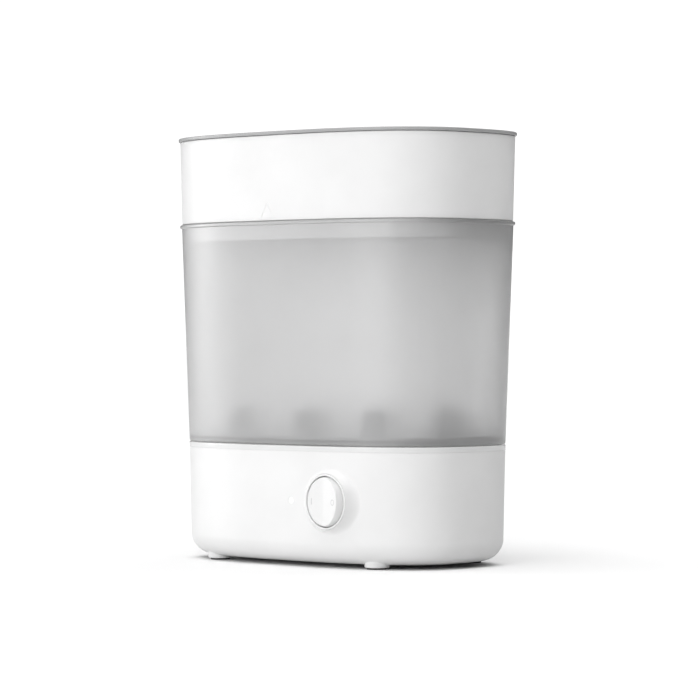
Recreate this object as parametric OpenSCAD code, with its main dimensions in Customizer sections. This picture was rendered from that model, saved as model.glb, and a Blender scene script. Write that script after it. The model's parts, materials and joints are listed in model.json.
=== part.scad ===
/* [Plan outline] */
// Half width of the plan outline at the chamber's lip
half_width = 145; // [142:1:150]
// Half depth of the plan outline at the chamber's lip
half_depth = 88.6; // [88:0.2:92]
// Squareness of the plan outline, where 2 is an ellipse
squareness = 2.85; // [2.8:0.05:3.1]
// Number of flats round the plan outline
plan_steps = 64; // [48:16:80]

/* [Heights] */
// Top of the lid's rim
lid_top = 336; // [334:1:345]
// Height of the lid's rim
lid_rim_h = 2.7; // [2.5:0.1:3.2]
// Top of the steam chamber's lip
chamber_top = 266.7; // [262:0.1:268]
// How far the small basket nests inside the chamber
nest_depth = 14.5; // [12:0.5:16]
// Top of the base
base_top = 93.6; // [93:0.1:96]
// Height of the deck's rim that shows above the housing
band_h = 4.2; // [4:0.1:4.4]
// Height of the flat underside above the floor
underside_z = 3.5; // [3.2:0.1:4]

/* [Shells] */
// Wall thickness of the chamber and the small basket
basket_wall = 2.2; // [2:0.1:2.4]
// Wall thickness of the base housing
housing_wall = 2.6; // [2.4:0.1:2.8]
// Radius of the rounded bottom edge of the base
base_fillet = 17; // [15:0.5:18]

/* [Bottle rack] */
// Pitch of the bottle posts across the width
post_pitch_x = 72; // [70:1:74]
// Pitch of the bottle posts across the depth
post_pitch_y = 84; // [82:1:86]
// Radius of a bottle post at its foot
post_r = 11.5; // [10:0.5:12]
// Height of a bottle post above the rack
post_h = 21; // [16:1:24]

/* [Heater] */
// Radius of the heating plate's flange
plate_r = 58; // [57:0.5:58.5]
// Radius of the round window in the deck over the plate
plate_window_r = 52; // [50:0.5:53]

/* [Power switch] */
// Distance of the switch to the right of the middle
switch_x = 58; // [56:1:60]
// Height of the switch and the indicator light
switch_z = 51.4; // [50:0.2:53]
// Front face of the switch's ring
switch_face_y = -82.5; // [-83.5:0.1:-82]
// Radius of the rocker's round outline
rocker_r = 19; // [18.5:0.1:19]
// Tilt of the rocker to either side
rocker_tilt = 8; // [6:0.5:8]
// Distance of the indicator light to the right of the middle
light_x = 20; // [18:1:22]

/* [Feet] */
// Distance of each foot from the middle, across the width
foot_x = 86; // [84:1:88]
// Distance of each foot from the middle, across the depth
foot_y = 54; // [52:0.5:55]
// Radius of a foot
foot_r = 9.5; // [8.5:0.5:10]

/* [Hidden] */
$fn = 48;

// Seam between pieces on different bodies
seam = 0.3;
// Sideways play between nested skirts
nest_play = 0.45;
// Running clearance of a pin in its bore
pin_fit = 0.05;

// How far each outline stands out from the plan outline at the chamber's lip
lid_out = 1.2;
tub_bottom_out = -1.5;
wall_top_out = -1.3;
wall_bottom_out = -6.9;
band_out = -6.8;
housing_top_out = -7.0;
housing_low_out = -8.4;

// Levels worked out from the driving heights
tub_top = lid_top - lid_rim_h - seam;
tub_bottom = chamber_top + seam;
nest_z = chamber_top - nest_depth;
wall_bottom = base_top + seam;
ledge_z = wall_bottom + 4.1;
rack_t = 3;
housing_top = base_top - band_h;
fillet_z = underside_z + base_fillet;
housing_light_out = housing_top_out
    + (housing_low_out - housing_top_out) * (housing_top - switch_z) / (housing_top - fillet_z);
floor_t = 2.6;

// The lid's panel and the well for the fingers
panel_top = lid_top - 1.2;
panel_t = 2;
grip_len = 112;
grip_w = 58;
grip_bar_w = 18;
grip_bar_t = 4;
grip_wall = 2;
grip_floor = panel_top - 18.8;

// Floors of the two baskets
basket_floor_t = 2.4;
rack_out = wall_bottom_out - basket_wall - 0.4;

// Screws: the common size, and the small one on the control board
screw_r = 1.5;
screw_bore = screw_r + pin_fit;
small_screw_r = 1.2;
small_screw_bore = small_screw_r + pin_fit;

// The deck and the heater that hangs under it
deck_floor_z = base_top - 15.6;
deck_t = 2.5;
rim_in = band_out - 4.8;
deck_under = deck_floor_z - deck_t;
gasket_t = 1.3;
flange_t = 1.2;
clamp_t = 1.5;
flange_top = deck_under - gasket_t;
flange_under = flange_top - flange_t;
clamp_under = flange_under - clamp_t;
dish_top = flange_top - 2.8;
dish_r = 43.5;
dish_rise = 5;
spreader_top = dish_top - flange_t;
spreader_t = 4;
spreader_under = spreader_top - spreader_t;
spreader_r = 42;
element_r = 32;
element_tube_r = 4;
element_z = spreader_under - element_tube_r - 0.05;
element_gap_angle = 25;
clamp_r = 66;
clamp_hole_r = 50;
clamp_screw_r = 62.3;
clamp_screws_n = 6;

// The thermostat under the spreader
thermostat_r = 8;
thermostat_h = 9;
thermostat_screw_x = 12;
ear_t = 1.2;

// The thermal fuse and its clip
fuse_x = 3;
fuse_y = -21;
fuse_z = spreader_under - 2.2;
fuse_r = 1.9;
fuse_half = 5.5;
fuse_lead_r = 0.6;
fuse_lead_half = 9;
clip_half = 3;
clip_screw_y = -14;

// Screws under the spreader: two for the thermostat, one for the fuse's clip
spreader_screws = [
    [-thermostat_screw_x, 0], [thermostat_screw_x, 0], [fuse_x, clip_screw_y]
];

// Screws that hold the deck to the housing
deck_post_x = 114;
deck_post_y = 24;
deck_boss_z = deck_under - 9.5;
deck_boss_r = 5;
screw_head_bore = 3.4;

// The bottom cover and its screws
cover_out = -40;
cover_t = 2.5;
cover_ledge = 4;
cover_screw_x = 76;
cover_screw_y = 36;
cover_boss_r = 5;
cover_boss_top = 16;

// Recess in a foot for its rubber pad
pad_top = 2.3;
pad_recess_r = foot_r - 1.8;

// The rocker turns about an upright pin behind the ring's face
pivot_y = switch_face_y + 6;
ball_r = sqrt(rocker_r * rocker_r + 5 * 5);
valley = 6.4;
ring_r = 21.3;
ring_lip_depth = 1.2;
boss_r = ring_r + 1.5;
boss_taper = 3;
boss_h = 10;
bezel_back_y = pivot_y + 9.5;
pin_r = 1.5;
pin_half = 20.7;
stem_back = -8;
plunger_tip = -15;
plunger_r = 2;
lever_z = -16;
lever_ratio = 0.6;
lever_len = 20;
body_front = -9.7;
body_back = -29.7;
body_half = 15;
contact_x = 8.5;
tab_end = -38;
tab_w = 6.2;
tab_t = 0.8;

// The control board stands upright behind the front wall
board_y = -63.6;
board_t = 1.6;
board_x0 = -62;
board_x1 = 32;
board_z0 = 34;
board_z1 = 68;
board_screw_xs = [-56, 28];
board_screw_zs = [39.5, 62.5];
relay_place = [-50, board_y + board_t, 40];
relay_size = [19, 15.3, 15.5];
capacitor_place = [-22, board_y + board_t, 42];
capacitor_size = [18, 13.5, 8.5];

// The mains inlet at the back
inlet_z = 36;
inlet_seat_y = 82;
inlet_flange_t = 2.5;
inlet_pitch = 40;
inlet_pin_places = [[-7, -2], [0, 2], [7, -2]];
inlet_pin_w = 2;
inlet_pin_h = 4;
inlet_pin_len = 30;
inlet_body_w = 27.6;
inlet_body_h = 20.2;
inlet_hole_play = 0.2;
inlet_flange_w = 50;
inlet_flange_h = 24;
inlet_pad_w = 56;
inlet_pad_h = 30;
inlet_pad_y = 75;

// Indicator light
light_r = 2.5;
led_y = -70.2;
led_leg_y = -65.5;

// Insulated wires
wire_r = 1.1;

// ---- Outline and loft helpers ----

// One point of the plan outline, grown outwards by an amount
function plan_point(grow, angle) = [
    (half_width + grow) * sign(cos(angle)) * pow(abs(cos(angle)), 2 / squareness),
    (half_depth + grow) * sign(sin(angle)) * pow(abs(sin(angle)), 2 / squareness)
];

// The whole plan outline, anticlockwise from above
function plan(grow) = [for (i = [0 : plan_steps - 1]) plan_point(grow, i * 360 / plan_steps)];

// Half depth of an outline at a distance across the width
function edge_y(grow, x) = (half_depth + grow)
    * pow(1 - pow(abs(x) / (half_width + grow), squareness), 1 / squareness);

// Points of a stack of outlines, each given as [grow, z]
function ring_points(section) =
    [for (s = section) for (p = plan(s[0])) [p[0], p[1], s[1]]];

// Two triangles for each flat between outline a and outline b
function ring_faces(a, b) = [
    for (j = [0 : plan_steps - 1])
        let (k = (j + 1) % plan_steps)
        for (half = [0, 1])
            half == 0
                ? [a * plan_steps + j, b * plan_steps + j, b * plan_steps + k]
                : [a * plan_steps + j, b * plan_steps + k, a * plan_steps + k]
];

// Wall that follows the outline; its section is closed and runs anticlockwise
module wall_loft(section) {
    n = len(section);
    faces = [for (i = [0 : n - 1]) for (f = ring_faces(i, (i + 1) % n)) f];
    polyhedron(ring_points(section), faces, convexity = 8);
}

// Solid that follows the outline from its lowest level to its highest
module solid_loft(section) {
    n = len(section);
    bottom = [for (j = [0 : plan_steps - 1]) j];
    top = [for (j = [plan_steps - 1 : -1 : 0]) (n - 1) * plan_steps + j];
    sides = [for (i = [0 : n - 2]) for (f = ring_faces(i, i + 1)) f];
    polyhedron(ring_points(section), concat([bottom, top], sides), convexity = 8);
}

// Flat plate with the plan outline
module plan_plate(grow, z, height) {
    translate([0, 0, z]) linear_extrude(height) polygon(plan(grow));
}

// Upright prism with round ends, lying along X
module stadium(length, width, height) {
    cube_len = length - width;
    union() {
        translate([-cube_len / 2, -width / 2, 0]) cube([cube_len, width, height]);
        for (side = [-1, 1]) translate([side * cube_len / 2, 0, 0]) cylinder(d = width, h = height);
    }
}

// Upright rod between two heights
module rod(x, y, z0, z1, r) {
    translate([x, y, z0]) cylinder(r = r, h = z1 - z0);
}

// Rod along Y between two depths
module rod_y(x, z, y0, y1, r) {
    translate([x, y0, z]) rotate([-90, 0, 0]) cylinder(r = r, h = y1 - y0);
}

// Point of a smooth curve through a route
function route_point(p, i, t) =
    let (
        a = p[max(i - 1, 0)],
        b = p[i],
        c = p[i + 1],
        d = p[min(i + 2, len(p) - 1)]
    )
    0.5 * (2 * b + (c - a) * t + (2 * a - 5 * b + 4 * c - d) * t * t
        + (3 * b - a - 3 * c + d) * t * t * t);

function unit(v) = v / norm(v);

// Tube along a smooth curve through a route of points
module wire(route, r) {
    part_steps = 4;
    sides = 8;
    centres = concat(
        [for (i = [0 : len(route) - 2]) for (s = [0 : part_steps - 1])
            route_point(route, i, s / part_steps)],
        [route[len(route) - 1]]
    );
    n = len(centres);
    points = [
        for (i = [0 : n - 1])
            let (
                along = unit(centres[min(i + 1, n - 1)] - centres[max(i - 1, 0)]),
                across = unit(cross(along, [0.31, 0.17, 0.93])),
                up = cross(along, across)
            )
            for (k = [0 : sides - 1])
                centres[i] + r * (cos(k * 360 / sides) * across + sin(k * 360 / sides) * up)
    ];
    tube_faces = [
        for (i = [0 : n - 2]) for (k = [0 : sides - 1])
            let (m = (k + 1) % sides)
            for (half = [0, 1])
                half == 0
                    ? [i * sides + k, (i + 1) * sides + k, (i + 1) * sides + m]
                    : [i * sides + k, (i + 1) * sides + m, i * sides + m]
    ];
    first_cap = [for (k = [0 : sides - 1]) k];
    last_cap = [for (k = [sides - 1 : -1 : 0]) (n - 1) * sides + k];
    polyhedron(points, concat(tube_faces, [first_cap, last_cap]), convexity = 6);
}

// ---- Lid ----

module lid_shell() {
    skirt_out = -basket_wall - nest_play;
    skirt_in = skirt_out - 1.8;
    skirt_z = tub_top - 8;
    color("#b9bcbf") difference() {
        union() {
            solid_loft([
                [skirt_out - 0.3, skirt_z],
                [skirt_out, skirt_z + 0.8],
                [skirt_out, tub_top + seam],
                [lid_out - 0.3, tub_top + seam],
                [lid_out, tub_top + seam + 0.4],
                [lid_out, lid_top - 0.5],
                [lid_out - 0.4, lid_top]
            ]);
            grip_shell(panel_top - 0.5);
        }
        lid_recess();
        difference() {
            solid_loft([[skirt_in, skirt_z - 1], [skirt_in, panel_top - panel_t]]);
            grip_shell(panel_top);
        }
        grip_hollow();
        steam_vents();
    }
}

// Everything above the panel, so the panel lies a little below the rim
module lid_recess() {
    solid_loft([[-2.4, panel_top], [-1.2, lid_top], [-1.2, lid_top + 1]]);
}

// Outside of the well that the fingers reach into
module grip_shell(top) {
    bottom = grip_floor - grip_wall;
    translate([0, 0, bottom])
        stadium(grip_len + 2 * grip_wall, grip_w + 2 * grip_wall, top - bottom);
}

// Hollow for the fingers on both sides of the grip bar
module grip_hollow() {
    under_bar = panel_top - grip_bar_t;
    translate([0, 0, grip_floor]) stadium(grip_len, grip_w, under_bar - grip_floor);
    difference() {
        translate([0, 0, grip_floor]) stadium(grip_len, grip_w, 30);
        translate([-grip_len / 2 - 1, -grip_bar_w / 2, under_bar])
            cube([grip_len + 2, grip_bar_w, panel_top - under_bar]);
    }
}

module steam_vents() {
    vent_pitch = 12;
    for (i = [-2 : 2])
        translate([i * vent_pitch, 54, panel_top - panel_t - 1]) rotate([0, 0, 90])
            stadium(18, 3.2, panel_t + 2);
}

// ---- Small basket ----

module small_basket() {
    skirt_out = wall_top_out - basket_wall - nest_play;
    skirt_low = skirt_out - 0.4;
    color("#f4f5f5") difference() {
        union() {
            solid_loft([
                [skirt_low - 0.5, nest_z],
                [skirt_low, nest_z + 0.7],
                [skirt_out, tub_bottom],
                [tub_bottom_out - 0.4, tub_bottom],
                [tub_bottom_out, tub_bottom + 0.4],
                [-0.02, tub_top - 0.4],
                [-0.4, tub_top]
            ]);
            alignment_mark();
        }
        solid_loft([
            [skirt_low - 2.1, nest_z + basket_floor_t],
            [skirt_out - 2, tub_bottom - 0.5],
            [tub_bottom_out - basket_wall, tub_bottom + 3],
            [-basket_wall, tub_top],
            [-basket_wall, tub_top + 1]
        ]);
        floor_slots();
    }
}

// Plain raised triangle that marks the front
module alignment_mark() {
    mark_w = 15;
    mark_h = 12;
    line_w = 1.1;
    front = -half_depth - tub_bottom_out - 0.45;
    translate([0, front + 2, tub_bottom + 2]) rotate([90, 0, 0]) linear_extrude(2)
        difference() {
            polygon([[-mark_w / 2, 0], [mark_w / 2, 0], [0, mark_h]]);
            translate([0, line_w])
                polygon([
                    [-mark_w / 2 + 1.8 * line_w, 0],
                    [mark_w / 2 - 1.8 * line_w, 0],
                    [0, mark_h - 3.2 * line_w]
                ]);
        }
}

// Two rows of slots that let the steam into the small basket
module floor_slots() {
    slot_pitch = 9;
    slot_w = 4.6;
    margin = 16;
    centre_rib = 8;
    for (i = [-12 : 12], side = [-1, 1])
        let (
            x = i * slot_pitch,
            length = edge_y(0, x) - margin - centre_rib / 2
        )
            translate([x, side * (centre_rib / 2 + length / 2), nest_z - 1]) rotate([0, 0, 90])
                stadium(length, slot_w, basket_floor_t + 2);
}

// ---- Steam chamber (large basket) ----

module chamber_wall() {
    skirt_out = rim_in - nest_play;
    skirt_in = skirt_out - 1.8;
    skirt_z = base_top - 4.4;
    inner_low = wall_bottom_out - basket_wall;
    color("#c9cccd") wall_loft([
        [skirt_out - 0.3, skirt_z],
        [skirt_out, skirt_z + 0.6],
        [skirt_out, wall_bottom],
        [wall_bottom_out - 1.2, wall_bottom],
        [wall_bottom_out - 0.35, wall_bottom + 0.35],
        [wall_bottom_out, wall_bottom + 1.2],
        [wall_top_out, chamber_top - 3.1],
        [-0.4, chamber_top - 2.7],
        [0, chamber_top - 2.2],
        [0, chamber_top - 0.5],
        [-0.4, chamber_top],
        [wall_top_out - basket_wall + 0.4, chamber_top],
        [wall_top_out - basket_wall, chamber_top - 0.4],
        [inner_low, ledge_z],
        [skirt_in, ledge_z],
        [skirt_in, skirt_z]
    ]);
}

module bottle_rack() {
    color("#8d9194") union() {
        difference() {
            plan_plate(rack_out, ledge_z, rack_t);
            for (i = [-1 : 1], side = [-1, 1])
                translate([i * post_pitch_x, side * post_pitch_y / 2, ledge_z - 1]) ray_slots();
            for (side = [-1, 1], x = [112, 120])
                translate([side * x, 0, ledge_z - 1]) rotate([0, 0, 90])
                    stadium(2 * (edge_y(rack_out, x) - 14), 4, rack_t + 2);
        }
        for (i = [-1 : 1], side = [-1, 1])
            translate([i * post_pitch_x, side * post_pitch_y / 2, ledge_z + rack_t - 0.5])
                bottle_post();
    }
}

// Ring of radial slots round one bottle post
module ray_slots() {
    for (k = [0 : 11]) rotate([0, 0, k * 30]) translate([22.5, 0, 0]) stadium(15, 4, rack_t + 2);
}

// Domed post that holds an upturned bottle, with four steam flutes
module bottle_post() {
    dome_r = 6;
    difference() {
        rotate_extrude() polygon(concat(
            [[0, 0], [post_r + 1.5, 0], [post_r, 1.5], [post_r - 1, post_h - dome_r + 0.5]],
            [for (a = [15 : 15 : 75])
                [post_r - 1 - dome_r + dome_r * cos(a), post_h - dome_r + 0.5 + dome_r * sin(a)]],
            [[post_r - 1 - dome_r, post_h + 0.5], [0, post_h + 0.5]]
        ));
        for (k = [0 : 3]) rotate([0, 0, 45 + 90 * k])
            translate([post_r - 2.6, -1.6, 3]) cube([6, 3.2, post_h]);
    }
}

// ---- Base: deck, housing, cover and feet ----

module base_deck() {
    spigot_out = housing_top_out - housing_wall - 0.4;
    color("#dfe1e2") difference() {
        union() {
            solid_loft([
                [rim_in - 10.8, deck_under],
                [rim_in - 2.8, deck_under + 10],
                [spigot_out, deck_under + 10],
                [spigot_out, housing_top],
                [band_out - 0.2, housing_top],
                [band_out, housing_top + 0.2],
                [band_out, base_top - 0.4],
                [band_out - 0.4, base_top]
            ]);
            for (sx = [-1, 1], sy = [-1, 1])
                rod(sx * deck_post_x, sy * deck_post_y, deck_boss_z, deck_under + 1, 4.5);
            for (k = [0 : clamp_screws_n - 1]) rotate([0, 0, 30 + k * 60])
                rod(clamp_screw_r, 0, flange_under, deck_under + 1, 3.6);
        }
        solid_loft([
            [rim_in - 11.9, deck_floor_z],
            [rim_in - 3.4, base_top - 5],
            [rim_in, base_top - 5],
            [rim_in, base_top + 1]
        ]);
        rod(0, 0, deck_under - 1, deck_floor_z + 1, plate_window_r);
        for (sx = [-1, 1], sy = [-1, 1])
            rod(sx * deck_post_x, sy * deck_post_y, deck_boss_z - 1, deck_under + 0.5, screw_bore);
        for (k = [0 : clamp_screws_n - 1]) rotate([0, 0, 30 + k * 60])
            rod(clamp_screw_r, 0, flange_under - 1, deck_under + 1.2, screw_bore);
    }
}

// Steps of the rounded bottom edge, from the underside up to the wall
function fillet_section(inset) = [
    for (a = [0 : 15 : 90])
        [
            housing_low_out - inset - (base_fillet - inset) * (1 - sin(a)) * 0.97,
            fillet_z - (base_fillet - inset) * cos(a)
        ]
];

module base_housing() {
    color("#f6f7f7") difference() {
        union() {
            difference() {
                solid_loft(concat(fillet_section(0), [[housing_top_out, housing_top]]));
                solid_loft(concat(
                    fillet_section(housing_wall),
                    [[housing_top_out - housing_wall, housing_top],
                     [housing_top_out - housing_wall, housing_top + 1]]
                ));
            }
            for (sx = [-1, 1], sy = [-1, 1]) {
                rod(sx * foot_x, sy * foot_y, 1.3, underside_z + 6.5, foot_r);
                rod(sx * deck_post_x, sy * deck_post_y, underside_z + 0.5, deck_boss_z, deck_boss_r);
                rod(
                    sx * cover_screw_x, sy * cover_screw_y,
                    underside_z + cover_t, cover_boss_top, cover_boss_r
                );
            }
            plan_plate(cover_out + 3, underside_z + cover_t, floor_t);
            switch_boss();
            for (x = board_screw_xs, z = board_screw_zs) rod_y(x, z, -78.4, board_y, 3.2);
            inlet_pad();
        }
        difference() {
            plan_plate(cover_out - cover_ledge, 0, 30);
            for (sx = [-1, 1], sy = [-1, 1])
                rod(sx * cover_screw_x, sy * cover_screw_y, 0, 31, cover_boss_r);
        }
        plan_plate(cover_out, 0, underside_z + cover_t);
        housing_bores();
        inlet_cut();
    }
}

// Round boss that carries the switch's ring
module switch_boss() {
    translate([switch_x, switch_face_y + 0.5, switch_z]) rotate([-90, 0, 0]) union() {
        cylinder(r1 = boss_r - 1, r2 = boss_r, h = boss_taper);
        translate([0, 0, boss_taper]) cylinder(r = boss_r, h = boss_h);
    }
}

// Flat seat for the mains inlet on the back wall
module inlet_pad() {
    translate([-inlet_pad_w / 2, inlet_pad_y, inlet_z - inlet_pad_h / 2])
        cube([inlet_pad_w, inlet_seat_y - inlet_pad_y, inlet_pad_h]);
}

module inlet_cut() {
    hole_w = inlet_body_w + 2 * inlet_hole_play;
    hole_h = inlet_body_h + 2 * inlet_hole_play;
    translate([-hole_w / 2, 60, inlet_z - hole_h / 2]) cube([hole_w, 40, hole_h]);
    for (side = [-1, 1])
        rod_y(side * inlet_pitch / 2, inlet_z, 60, 100, screw_bore);
}

module housing_bores() {
    rod_y(switch_x, switch_z, -100, -50, ring_r + pin_fit);
    rod_y(light_x, switch_z, -100, -70, light_r + pin_fit);
    for (sx = [-1, 1], sy = [-1, 1]) {
        rod(sx * foot_x, sy * foot_y, 1, pad_top, pad_recess_r);
        rod(sx * deck_post_x, sy * deck_post_y, 0, deck_boss_z - 4, screw_head_bore);
        rod(sx * deck_post_x, sy * deck_post_y, 0, deck_boss_z + 1, screw_bore);
        rod(sx * cover_screw_x, sy * cover_screw_y, 0, 14.5, screw_bore);
    }
    for (x = board_screw_xs, z = board_screw_zs) rod_y(x, z, -74, -50, small_screw_bore);
}

module bottom_cover() {
    color("#e6e8e9") difference() {
        plan_plate(cover_out - 0.3, underside_z, cover_t);
        for (sx = [-1, 1], sy = [-1, 1]) {
            rod(sx * cover_screw_x, sy * cover_screw_y, 0, underside_z + 1.5, 3.2);
            rod(sx * cover_screw_x, sy * cover_screw_y, 0, 10, screw_bore);
        }
        for (i = [-4 : 4], side = [-1, 1])
            translate([i * 9, side * 24, 0]) rotate([0, 0, 90]) stadium(26, 3.2, 10);
    }
}

module foot_pad(sx, sy) {
    color("#3b3c3e") rod(sx * foot_x, sy * foot_y, 0, pad_top, pad_recess_r - 0.1);
}

module foot_pad_1() { foot_pad(-1, -1); }
module foot_pad_2() { foot_pad(1, -1); }
module foot_pad_3() { foot_pad(1, 1); }
module foot_pad_4() { foot_pad(-1, 1); }

// ---- Heater ----

module heating_plate() {
    color("#c4c6c8") rotate_extrude($fn = 96) polygon([
        [0, spreader_top], [dish_r + 0.5, spreader_top],
        [dish_r + 0.5 + dish_rise, flange_under], [plate_r, flange_under],
        [plate_r, flange_top], [dish_r + dish_rise, flange_top],
        [dish_r, dish_top], [0, dish_top]
    ]);
}

module plate_gasket() {
    color("#b24a3a") difference() {
        rod(0, 0, flange_top, deck_under, plate_r);
        rod(0, 0, flange_top - 1, deck_under + 1, plate_window_r - 0.5);
    }
}

module clamp_ring() {
    color("#a7a9ab") difference() {
        rod(0, 0, clamp_under, flange_under, clamp_r);
        rod(0, 0, clamp_under - 1, flange_under + 1, clamp_hole_r);
        for (k = [0 : clamp_screws_n - 1]) rotate([0, 0, 30 + k * 60])
            rod(clamp_screw_r, 0, clamp_under - 1, flange_under + 1, screw_bore);
    }
}

// Pan-head screw pointing up, its head's lower face at z
module screw_up(x, y, z, shank, head_r, head_t) {
    difference() {
        union() {
            rod(x, y, z, z + head_t, head_r);
            rod(x, y, z + head_t - 0.2, z + head_t + shank, screw_r);
        }
        for (turn = [0, 90]) translate([x, y, z]) rotate([0, 0, turn])
            cube([head_r, 0.9, 1.4], center = true);
    }
}

module clamp_screws() {
    color("#8a8c8e") for (k = [0 : clamp_screws_n - 1]) rotate([0, 0, 30 + k * 60])
        screw_up(clamp_screw_r, 0, clamp_under - 2, 5, 2.9, 2);
}

module heat_spreader() {
    color("#b8babc") difference() {
        rod(0, 0, spreader_under, spreader_top, spreader_r);
        for (p = spreader_screws)
            rod(p[0], p[1], spreader_under - 1, spreader_under + 3.2, screw_bore);
    }
}

// Tubular heater that runs most of the way round under the spreader
module heating_element() {
    tail = 8;
    color("#75787b") union() {
        translate([0, 0, element_z]) rotate([0, 0, -90 + element_gap_angle])
            rotate_extrude(angle = 360 - 2 * element_gap_angle)
                translate([element_r, 0]) circle(r = element_tube_r);
        for (side = [-1, 1]) rotate([0, 0, -90 + side * element_gap_angle])
            rod(element_r, 0, element_z - tail, element_z + 1, element_tube_r - 0.4);
    }
}

module element_terminals() {
    color("#d0b878") for (side = [-1, 1]) rotate([0, 0, -90 + side * element_gap_angle])
        union() {
            rod(element_r, 0, element_z - 14, element_z - 8, 1.4);
            translate([element_r - 0.4, -3.1, element_z - 22]) cube([0.8, 6.2, 9]);
        }
}

module thermostat() {
    color("#2f3133") difference() {
        union() {
            rod(0, 0, spreader_under - thermostat_h, spreader_under, thermostat_r);
            translate([-15, -4, spreader_under - ear_t]) cube([30, 8, ear_t]);
            for (side = [-1, 1])
                translate([side * 4 - 0.4, -3, spreader_under - 16]) cube([0.8, 6, 8]);
        }
        for (side = [-1, 1])
            rod(side * thermostat_screw_x, 0, spreader_under - 3, spreader_under + 1, screw_bore);
    }
}

// Screws that hold the thermostat and the fuse's clip to the spreader
module spreader_screw_set() {
    color("#8a8c8e") for (p = spreader_screws)
        screw_up(p[0], p[1], spreader_under - 3.2, 3.8, 2.6, 2);
}

// Rod along X
module rod_x(y, z, x0, x1, r) {
    translate([x0, y, z]) rotate([0, 90, 0]) cylinder(r = r, h = x1 - x0);
}

module thermal_fuse() {
    color("#c9a24a") union() {
        rod_x(fuse_y, fuse_z, fuse_x - fuse_half, fuse_x + fuse_half, fuse_r);
        rod_x(fuse_y, fuse_z, fuse_x - fuse_lead_half, fuse_x + fuse_lead_half, fuse_lead_r);
    }
}

// Saddle that holds the fuse against the spreader
module fuse_clip() {
    tab_y = clip_screw_y + 3.2;
    color("#a7a9ab") difference() {
        union() {
            translate([fuse_x - clip_half, fuse_y - clip_half, fuse_z - clip_half])
                cube([2 * clip_half, 2 * clip_half, spreader_under - fuse_z + clip_half]);
            translate([fuse_x - clip_half, fuse_y, spreader_under - ear_t])
                cube([2 * clip_half, tab_y - fuse_y, ear_t]);
        }
        rod_x(fuse_y, fuse_z, fuse_x - 6, fuse_x + 6, fuse_r + pin_fit);
        translate([fuse_x - 6, fuse_y - 1.5, fuse_z]) cube([12, 3, 10]);
        rod(fuse_x, clip_screw_y, 0, spreader_under + 1, screw_bore);
    }
}

// ---- Power switch ----

// The switch is drawn about the rocker's pivot, with +Z towards the user
module at_pivot() {
    translate([switch_x, pivot_y, switch_z]) rotate([90, 0, 0]) children();
}

// Turns a piece that moves with the rocker to its switched-on place
module rocker_tilted() {
    at_pivot() rotate([0, -rocker_tilt, 0]) children();
}

module switch_bezel() {
    face = pivot_y - switch_face_y;
    back = pivot_y - bezel_back_y;
    cavity_r = ball_r + 0.25;
    hole_r = rocker_r + 0.1;
    color("#f4f5f5") at_pivot() difference() {
        rotate_extrude($fn = 96) polygon([
            [hole_r, face - ring_lip_depth], [hole_r, face - 0.3],
            [hole_r + 0.3, face], [ring_r - 0.6, face], [ring_r, face - 0.6],
            [ring_r, back], [9, back], [9, back + 1.4], [cavity_r, back + 1.4],
            [cavity_r, face - ring_lip_depth]
        ]);
        rotate([90, 0, 0]) translate([0, 0, -ring_r - 1])
            cylinder(r = pin_r + pin_fit, h = 2 * ring_r + 2);
    }
}

module rocker_pin() {
    color("#9a9c9e") rod(switch_x, pivot_y, switch_z - pin_half, switch_z + pin_half, pin_r);
}

// Rocker cap: a ball cut in front by two sloping faces, with a stem behind
module power_rocker() {
    slope = 6.8;
    big = 60;
    stem_r = 4;
    color("#f7f8f8") rocker_tilted() difference() {
        union() {
            intersection() {
                sphere(r = ball_r, $fn = 96);
                translate([-big / 2, -big / 2, -2.5]) cube([big, big, big]);
            }
            translate([0, 0, stem_back]) cylinder(r = stem_r, h = 6);
        }
        for (side = [-1, 1]) translate([0, 0, valley]) rotate([0, -side * slope, 0])
            translate([side > 0 ? 0 : -big, -big / 2, 0]) cube([big, big, big]);
        rotate([90, 0, 0]) translate([0, 0, -big / 2]) cylinder(r = pin_r + pin_fit, h = big);
        translate([0, 0, stem_back - 1]) cylinder(r = plunger_r + pin_fit, h = 6);
    }
}

// Spring-loaded pin that presses on the contact lever
module rocker_plunger() {
    color("#d9dbdc") rocker_tilted() union() {
        translate([0, 0, plunger_tip + plunger_r])
            cylinder(r = plunger_r, h = stem_back + 2 - plunger_tip - plunger_r);
        translate([0, 0, plunger_tip + plunger_r]) sphere(r = plunger_r - 0.01);
    }
}

// Coil of round wire along Z
module coil(coil_r, wire_r, z0, z1, turns) {
    per_turn = 12;
    sides = 6;
    n = turns * per_turn;
    points = [
        for (i = [0 : n], k = [0 : sides - 1])
            let (
                turn = i * 360 / per_turn,
                around = k * 360 / sides,
                r = coil_r + wire_r * cos(around)
            )
            [r * cos(turn), r * sin(turn), z0 + (z1 - z0) * i / n + wire_r * sin(around)]
    ];
    tube_faces = [
        for (i = [0 : n - 1], k = [0 : sides - 1])
            let (m = (k + 1) % sides)
            for (half = [0, 1])
                half == 0
                    ? [i * sides + k, i * sides + m, (i + 1) * sides + m]
                    : [i * sides + k, (i + 1) * sides + m, (i + 1) * sides + k]
    ];
    first_cap = [for (k = [sides - 1 : -1 : 0]) k];
    last_cap = [for (k = [0 : sides - 1]) n * sides + k];
    polyhedron(points, concat(tube_faces, [first_cap, last_cap]), convexity = 8);
}

module rocker_spring() {
    color("#a7a9ab") rocker_tilted() coil(1.45, 0.25, stem_back + 2.3, stem_back + 4.6, 3);
}

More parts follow.
